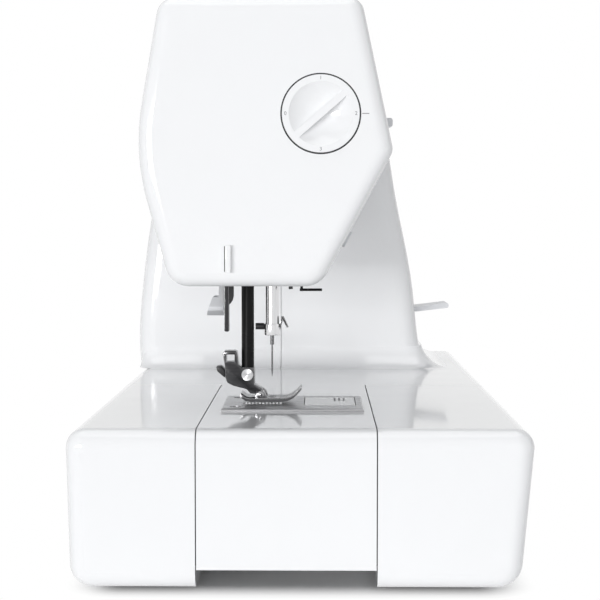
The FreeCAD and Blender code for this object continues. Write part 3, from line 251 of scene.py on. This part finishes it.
def cut_plate(name, outline, start, end, facing="Y"):
    """A plate drawn corner by corner in mm, then pulled to its thickness along Y or Z."""

    def spot(corner, depth):
        return mm(corner[0], depth, corner[1]) if facing == "Y" else mm(corner[0], corner[1], depth)

    bpy.ops.object.select_all(action="DESELECT")
    bpy.ops.mesh.primitive_plane_add(size=0.0005, location=spot(outline[0], start))
    plate = bpy.context.object
    plate.name = name
    bpy.ops.object.transform_apply(location=True, rotation=True, scale=True)
    bpy.ops.object.mode_set(mode="EDIT")
    bpy.ops.mesh.select_mode(type="VERT")
    bpy.ops.mesh.select_all(action="SELECT")
    bpy.ops.mesh.merge(type="CENTER")
    for before, after in zip(outline, outline[1:]):
        step = spot(after, start) - spot(before, start)
        bpy.ops.mesh.extrude_vertices_move(TRANSFORM_OT_translate={"value": step})
    bpy.ops.mesh.select_all(action="SELECT")
    bpy.ops.mesh.edge_face_add()
    pull = spot(outline[0], end) - spot(outline[0], start)
    bpy.ops.mesh.extrude_region_move(TRANSFORM_OT_translate={"value": pull})
    bpy.ops.mesh.select_all(action="SELECT")
    bpy.ops.mesh.normals_make_consistent(inside=False)
    bpy.ops.object.mode_set(mode="OBJECT")
    return plate


def turned_rod(name, radius, start, end, sides=32):
    """A round bar between two points in mm."""
    a, b = mm(*start), mm(*end)
    bpy.ops.object.select_all(action="DESELECT")
    turn = (b - a).to_track_quat("Z", "Y").to_euler()
    bpy.ops.mesh.primitive_cylinder_add(vertices=sides, radius=radius * MM, depth=(b - a).length,
                                        location=(a + b) / 2, rotation=turn)
    rod = bpy.context.object
    rod.name = name
    bpy.ops.object.transform_apply(location=True, rotation=True, scale=True)
    return rod


def soften(piece, width, segments=3, angle=35):
    """Rounds a piece's edges by a width in mm."""
    only(piece)
    edge = piece.modifiers.new("edge", "BEVEL")
    edge.width = width * MM
    edge.segments = segments
    edge.limit_method = "ANGLE"
    edge.angle_limit = math.radians(angle)
    bpy.ops.object.modifier_apply(modifier="edge")
    bpy.ops.object.shade_smooth_by_angle(angle=math.radians(angle))


def carve(piece, *tools):
    """Takes each tool's volume out of a piece."""
    for tool in tools:
        only(piece)
        cutter = piece.modifiers.new("carve", "BOOLEAN")
        cutter.operation = "DIFFERENCE"
        cutter.solver = "EXACT"
        cutter.object = tool
        bpy.ops.object.modifier_apply(modifier="carve")
        bpy.data.objects.remove(tool)


def unite(piece, *others):
    """Joins loose pieces into one object."""
    bpy.ops.object.select_all(action="DESELECT")
    for other in others:
        other.select_set(True)
    piece.select_set(True)
    bpy.context.view_layer.objects.active = piece
    bpy.ops.object.join()


def place_piece(piece, body, slot, material, *replaced):
    """Paints a finished piece and fixes it to the body that carries it."""
    piece.data.materials.clear()
    piece.data.materials.append(material)
    if replaced:
        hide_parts(*replaced)
    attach(piece, body)


def block(name, low, high):
    """A plain block to carve with."""
    return cut_plate(name, rectangle(low[0], low[2], high[0], high[2]), low[1], high[1])


# Foot holder, its release lever and the presser foot

NEEDLE_X, NEEDLE_Y = -15.6, -124.5
HOLDER_OUTLINE = [
    (-41.4, 107.6), (-40.4, 108.9), (-34.7, 108.9), (-33.9, 108.2), (-33.0, 101.7), (-31.9, 100.4),
    (-24.8, 100.4), (-24.7, 91.2), (-20.5, 88.8), (-20.4, 87.6), (-21.2, 86.6), (-22.6, 86.2),
    (-27.0, 86.6), (-28.8, 88.8), (-35.8, 90.6), (-39.0, 92.2), (-40.0, 95.0), (-40.3, 100.8),
]
holder = cut_plate("holder_clamp", HOLDER_OUTLINE, NEEDLE_Y - 5, NEEDLE_Y + 5)
carve(holder, block("tab_window", (-39.6, NEEDLE_Y - 9, 103.2), (-35.2, NEEDLE_Y + 9, 107)))
soften(holder, 0.45)
place_piece(holder, "presser", "dark_steel", CHROME, "foot_holder")
RELEASE_OUTLINE = [
    (-44.9, 100.6), (-42.2, 100.8), (-40.4, 98.8), (-39.8, 94.6), (-41.2, 95.4), (-44.4, 98.2),
]
release = cut_plate("release_lever", RELEASE_OUTLINE, NEEDLE_Y - 4, NEEDLE_Y + 4)
soften(release, 0.5)
place_piece(release, "presser", "black_plastic", BLACK, "foot_release")

SOLE_OUTLINE = [
    (-32.4, 86.0), (-31.2, 84.3), (-29.2, 83.1), (-27.0, 82.7), (-9.8, 82.7), (-7.4, 83.1),
    (-5.0, 84.2), (-2.9, 85.9), (-1.2, 87.8), (0.25, 89.5), (-0.5, 90.1), (-2.0, 88.5), (-3.7, 86.8),
    (-5.6, 85.5), (-7.8, 84.7), (-9.8, 84.5), (-27.0, 84.5), (-28.9, 84.9), (-30.4, 85.8),
    (-31.6, 87.0),
]
sole = cut_plate("foot_sole", SOLE_OUTLINE, NEEDLE_Y - 9, NEEDLE_Y + 9)
carve(sole, block("needle_slot", (NEEDLE_X - 2, NEEDLE_Y - 3.6, 80), (NEEDLE_X + 2, NEEDLE_Y + 3.6, 86)),
      block("toe_slot", (NEEDLE_X + 1.9, NEEDLE_Y - 1, 80), (NEEDLE_X + 20, NEEDLE_Y + 1, 95)))
soften(sole, 0.25, 2)
EAR_OUTLINE = [
    (-24.6, 84.0), (-18.0, 84.0), (-18.6, 86.6), (-19.8, 88.1), (-21.1, 88.5), (-22.4, 88.1),
    (-23.6, 86.8),
]
for side in (-8.0, 5.6):
    ear = cut_plate("ear", EAR_OUTLINE, NEEDLE_Y + side, NEEDLE_Y + side + 2.4)
    soften(ear, 0.3, 2)
    unite(sole, ear)
pin = turned_rod("foot_pin", 1.0, (-21.1, NEEDLE_Y - 8.6, 86.3), (-21.1, NEEDLE_Y + 8.6, 86.3))
soften(pin, 0.2, 2)
unite(sole, pin)
place_piece(sole, "foot", "bright_steel", FOOT, "presser_foot")

# Needle bar clip, buttonhole lever cam and the thread guide's tab under the head

CLIP_OUTLINE = [
    (-12.2, 119.8), (-10.7, 126.8), (-9.5, 126.8), (-6.9, 121.2), (-7.8, 120.9), (-10.0, 124.9),
    (-11.3, 119.8),
]
clip = cut_plate("thread_clip", CLIP_OUTLINE, NEEDLE_Y - 1.4, NEEDLE_Y + 1.4)
soften(clip, 0.25, 2)
place_piece(clip, "needle_bar", "dark_steel", CHROME)
CAM_OUTLINE = [
    (-38.3, 146.0), (-35.0, 146.0), (-35.0, 138.2), (-35.5, 136.0), (-36.6, 134.4), (-38.3, 132.8),
]
cam = cut_plate("buttonhole_cam", CAM_OUTLINE, -138.6, -136.2)
soften(cam, 0.4)
place_piece(cam, "buttonhole", "black_plastic", BLACK)
GUIDE_OUTLINE = [
    (-7.0, 145.2), (-5.0, 145.2), (-4.6, 141.4), (-6.8, 141.2),
]
guide_tab = cut_plate("guide_tab", GUIDE_OUTLINE, -128.5, -127.0)
soften(guide_tab, 0.2, 2)
place_piece(guide_tab, "machine", "black_plastic", BLACK)

# Thread cutter: a rib with a slit beside its blade, the slit's shade painted as a dark strip

FACE_Y = -185.0
RIB = rectangle(-36.4, 151.9, -33.6, 165.3)
SLIT = rectangle(-36.95, 152.4, -36.35, 164.8)
rib = cut_plate("cutter_rib", RIB, FACE_Y - 3.3, FACE_Y + 0.4)
soften(rib, 0.45)
place_piece(rib, "machine", "white_shell", WHITE, "thread_cutter")
slit = cut_plate("cutter_slit", SLIT, FACE_Y - 0.3, FACE_Y + 0.4)
soften(slit, 0.05, 1)
place_piece(slit, "machine", "black_plastic", GAP_SHADE)

# Dial: shadow ring, plain numbers and the mark on the cover

DIAL_X, DIAL_Z, DIAL_R = 9.8, 228.6, 18.7
RING_OUT, RING_WIDTH, RING_DEPTH = 0.8, 0.74, 1.7
NUMBER_REACH, NUMBER_SIZE, NUMBER_RAISE = 17.05, 2.5, 0.04
FACING = (math.pi / 2, 0, 0)
bpy.ops.object.select_all(action="DESELECT")
bpy.ops.mesh.primitive_circle_add(vertices=96, radius=(DIAL_R + RING_OUT) * MM, fill_type="NGON",
                                  rotation=FACING, location=mm(DIAL_X, FACE_Y - 0.02, DIAL_Z))
ring = bpy.context.object
ring.name = "dial_shadow_gap"
bpy.ops.object.transform_apply(location=True, rotation=True, scale=True)
bpy.ops.object.mode_set(mode="EDIT")
bpy.ops.mesh.select_all(action="SELECT")
bpy.ops.mesh.inset(thickness=RING_WIDTH * MM)
bpy.ops.mesh.delete(type="FACE")
bpy.ops.mesh.select_all(action="SELECT")
bpy.ops.mesh.extrude_region_move(TRANSFORM_OT_translate={"value": mm(0, RING_DEPTH, 0)})
bpy.ops.mesh.select_all(action="SELECT")
bpy.ops.mesh.normals_make_consistent(inside=False)
bpy.ops.object.mode_set(mode="OBJECT")
place_piece(ring, "machine", "black_plastic", GAP_SHADE)
for number, angle in (("1", 90), ("2", 0), ("3", 270), ("0", 180)):
    x = DIAL_X + NUMBER_REACH * math.cos(math.radians(angle))
    z = DIAL_Z + NUMBER_REACH * math.sin(math.radians(angle))
    bpy.ops.object.select_all(action="DESELECT")
    bpy.ops.object.text_add(location=mm(x, FACE_Y - 1.22, z), rotation=FACING)
    figure = bpy.context.object
    figure.name = "dial_number_" + number
    figure.data.body = number
    figure.data.size = NUMBER_SIZE * MM
    figure.data.extrude = NUMBER_RAISE * MM
    figure.data.align_x = "CENTER"
    figure.data.align_y = "CENTER"
    bpy.ops.object.convert(target="MESH")
    bpy.ops.object.transform_apply(location=True, rotation=True, scale=True)
    place_piece(figure, "dial", "black_plastic", PRINT)
mark = cut_plate("dial_mark", rectangle(29.8, 228.5, 33.2, 228.85), FACE_Y - 0.06, FACE_Y + 0.3)
soften(mark, 0.02, 1)
place_piece(mark, "machine", "black_plastic", PRINT)

# Painted shade: dark strips stand in for the shade deep in the gaps beside the free arm, along its end
# and its top edges

GAP_HALF = 0.16
GAP_FOOT, GAP_TOP = 16, 78.6
STRIP_DEPTH = 1.2
for name, middle in (("rear_gap", -48.48), ("front_gap", 36.18)):
    left, right = middle - GAP_HALF, middle + GAP_HALF
    end_strip = cut_plate(name, rectangle(left, GAP_FOOT, right, GAP_TOP), -217.6, -216.2)
    soften(end_strip, 0.05, 1)
    along_top = rectangle(left, GAP_TOP - STRIP_DEPTH, right, GAP_TOP)
    top_strip = cut_plate(name + "_top", along_top, -216.1, -31)
    soften(top_strip, 0.05, 1)
    unite(end_strip, top_strip)
    place_piece(end_strip, "machine", "black_plastic", GAP_SHADE)

# Printed marks on the bobbin cover

FIRST_MARK, MARK_STEP, MARK_HALF = 17.4, 2.4, 0.5
for i in range(3):
    x = FIRST_MARK + MARK_STEP * i
    bar = rectangle(x - MARK_HALF, -119, x + MARK_HALF, -107)
    mark = cut_plate(f"cover_mark_{i}", bar, 81.49, 81.56, "Z")
    soften(mark, 0.01, 1)
    place_piece(mark, "bobbin_cover", "black_plastic", PRINT)

# Broken edges on the small fixed shapes

BROKEN_EDGES = {
    "reverse_lever": 0.8, "presser_lifter": 0.8, "start_button": 0.6, "needle_button": 0.6,
    "needle_clamp": 0.4, "clamp_screw": 0.4, "bobbin_cover": 0.3, "buttonhole_lever": 0.3,
}
for name, width in BROKEN_EDGES.items():
    node = nodes[name]
    weld = node.modifiers.new("weld", "WELD")
    weld.merge_threshold = 0.00001
    edge = node.modifiers.new("edge", "BEVEL")
    edge.width = width * MM
    edge.segments = 3
    edge.limit_method = "ANGLE"
    edge.angle_limit = math.radians(40)

# Camera at the photograph's viewpoint, studio floor and light

FOCAL_PX = 1498
IMAGE_PX = 600
SENSOR = 36.0
VANISHING_PX = (319, 218)
VIEWPOINT = (9, -910, 178.4)
FLOOR_SIZE = 8
SHADOW_HALF = (0.085, 0.188, 0.0)
SHADOW_FADE = 0.03
SKY_COLOR, SKY_STRENGTH = (0.8, 0.82, 0.85, 1), 0.28
camera_data = bpy.data.cameras.new("camera")
camera_data.sensor_width = SENSOR
camera_data.lens = FOCAL_PX / IMAGE_PX * SENSOR
camera = bpy.data.objects.new("camera", camera_data)
scene.collection.objects.link(camera)
camera.location = mm(*VIEWPOINT)
pitch = math.atan((IMAGE_PX / 2 - VANISHING_PX[1]) / FOCAL_PX)
yaw = math.atan((VANISHING_PX[0] - IMAGE_PX / 2) / FOCAL_PX)
camera.rotation_euler = (math.pi / 2 - pitch, 0, yaw)
scene.camera = camera
scene.view_settings.view_transform = "Standard"

bpy.ops.mesh.primitive_plane_add(size=FLOOR_SIZE)
floor = bpy.context.object
floor.name = "floor"
FLOOR, floor_tree, floor_shader = new_material("floor", (0.93, 0.93, 0.93), 0.7)
floor_tone = noise(floor_tree, object_coordinates(floor_tree), 3.0)
tint(floor_tree, floor_shader, floor_tone, (0.925, 0.925, 0.925), (0.935, 0.935, 0.935))
floor.data.materials.append(FLOOR)


def seen_rays(tree):
    """One for the rays that show the surroundings: camera, mirror and glass rays."""
    path = add_node(tree, "ShaderNodeLightPath")
    mirror = add_node(tree, "ShaderNodeMath", operation="MAXIMUM")
    either = add_node(tree, "ShaderNodeMath", operation="MAXIMUM")
    tree.links.new(path.outputs["Is Glossy Ray"], mirror.inputs[0])
    tree.links.new(path.outputs["Is Transmission Ray"], mirror.inputs[1])
    tree.links.new(path.outputs["Is Camera Ray"], either.inputs[0])
    tree.links.new(mirror.outputs[0], either.inputs[1])
    return either.outputs[0]


# The floor turns plain white a little way out from the footprint, where the shadow ends

place = add_node(floor_tree, "ShaderNodeTexCoord")
beyond = add_node(floor_tree, "ShaderNodeVectorMath", operation="ABSOLUTE")
outside = add_node(floor_tree, "ShaderNodeVectorMath", operation="SUBTRACT")
outside.inputs[1].default_value = SHADOW_HALF
clear_of = add_node(floor_tree, "ShaderNodeVectorMath", operation="MAXIMUM")
reach_out = add_node(floor_tree, "ShaderNodeVectorMath", operation="LENGTH")
fade = add_node(floor_tree, "ShaderNodeMapRange", interpolation_type="SMOOTHSTEP")
fade.inputs["From Max"].default_value = SHADOW_FADE
shown_fade = add_node(floor_tree, "ShaderNodeMath", operation="MULTIPLY")
plain = add_node(floor_tree, "ShaderNodeEmission")
floor_blend = add_node(floor_tree, "ShaderNodeMixShader")
floor_tree.links.new(place.outputs["Object"], beyond.inputs[0])
floor_tree.links.new(beyond.outputs[0], outside.inputs[0])
floor_tree.links.new(outside.outputs[0], clear_of.inputs[0])
floor_tree.links.new(clear_of.outputs[0], reach_out.inputs[0])
floor_tree.links.new(reach_out.outputs["Value"], fade.inputs["Value"])
floor_tree.links.new(fade.outputs["Result"], shown_fade.inputs[0])
floor_tree.links.new(seen_rays(floor_tree), shown_fade.inputs[1])
floor_tree.links.new(shown_fade.outputs[0], floor_blend.inputs[0])
floor_tree.links.new(floor_shader.outputs[0], floor_blend.inputs[1])
floor_tree.links.new(plain.outputs[0], floor_blend.inputs[2])
floor_tree.links.new(floor_blend.outputs[0], floor_tree.nodes["Material Output"].inputs["Surface"])


def area_light(name, location, target, size, power):
    """A soft box aimed at a point; lengths in metres, power in watts."""
    data = bpy.data.lights.new(name, "AREA")
    data.shape = "RECTANGLE"
    data.size, data.size_y = size
    data.energy = power
    lamp = bpy.data.objects.new(name, data)
    lamp.location = location
    lamp.rotation_euler = (Vector(target) - Vector(location)).to_track_quat("-Z", "Y").to_euler()
    scene.collection.objects.link(lamp)
    return lamp


area_light("top", (-0.1, -0.1, 1.6), (0, 0, 0), (1.6, 1.6), 10)
area_light("front", (-2.75, -5.25, 0.42), (0, 0, 0.15), (2.75, 0.8), 130)
area_light("right", (1.5, -0.3, 0.8), (0, 0, 0.15), (1.0, 1.2), 0.8)
area_light("left", (-1.5, -0.3, 0.8), (0, 0, 0.15), (1.0, 1.2), 0.3)

# The low lamp fills the throat and isn't mirrored in the gloss

low = area_light("low", (0, -6, 0.075), (0, 0, 0.1), (4, 0.125), 122)
low.visible_glossy = False

world = bpy.data.worlds.new("world")
scene.world = world
world.use_nodes = True
world_tree = world.node_tree
backdrop = world_tree.nodes["Background"]
backdrop.inputs["Color"].default_value = SKY_COLOR
backdrop.inputs["Strength"].default_value = SKY_STRENGTH
shown = add_node(world_tree, "ShaderNodeBackground")
shown.inputs["Color"].default_value = (1, 1, 1, 1)
blend = add_node(world_tree, "ShaderNodeMixShader")
world_tree.links.new(seen_rays(world_tree), blend.inputs[0])
world_tree.links.new(backdrop.outputs[0], blend.inputs[1])
world_tree.links.new(shown.outputs[0], blend.inputs[2])
world_tree.links.new(blend.outputs[0], world_tree.nodes["World Output"].inputs["Surface"])
